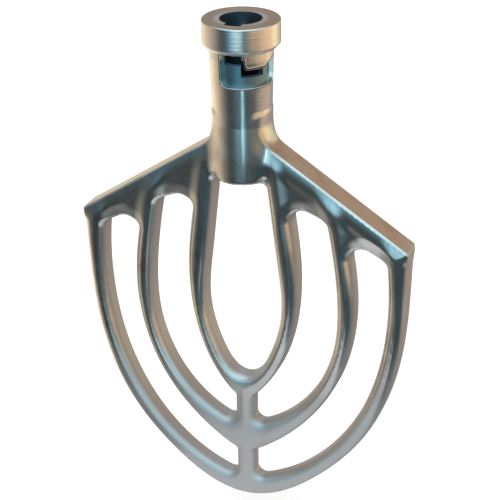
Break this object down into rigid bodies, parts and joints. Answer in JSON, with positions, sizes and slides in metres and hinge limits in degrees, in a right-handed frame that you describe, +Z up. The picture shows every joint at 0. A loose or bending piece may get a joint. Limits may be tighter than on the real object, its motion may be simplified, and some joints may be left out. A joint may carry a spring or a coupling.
{
  "type": "mixing paddle",
  "caption": "Flat cast mixing paddle with nested loops, two sloping arms and a bored bayonet hub for a vertical mixer shaft.",
  "frame": {"origin": "centre of the shaft bore at the hub's top face", "axes": "+Z up the shaft, out of the bore; -Y the paddle's front face, with the pin window; +X to its right"},
  "size_m": [0.2138, 0.0468, 0.3289],
  "materials": {
    "casting": "burnished casting",
    "collar": "turned and polished",
    "sleeve": "ground",
    "dowels": "ground"
  },
  "bodies": {
    "root": {"paddle_casting": "casting", "collar_band": "collar", "drive_sleeve": "sleeve", "sleeve_dowels": "dowels"}
  },
  "joints": []
}
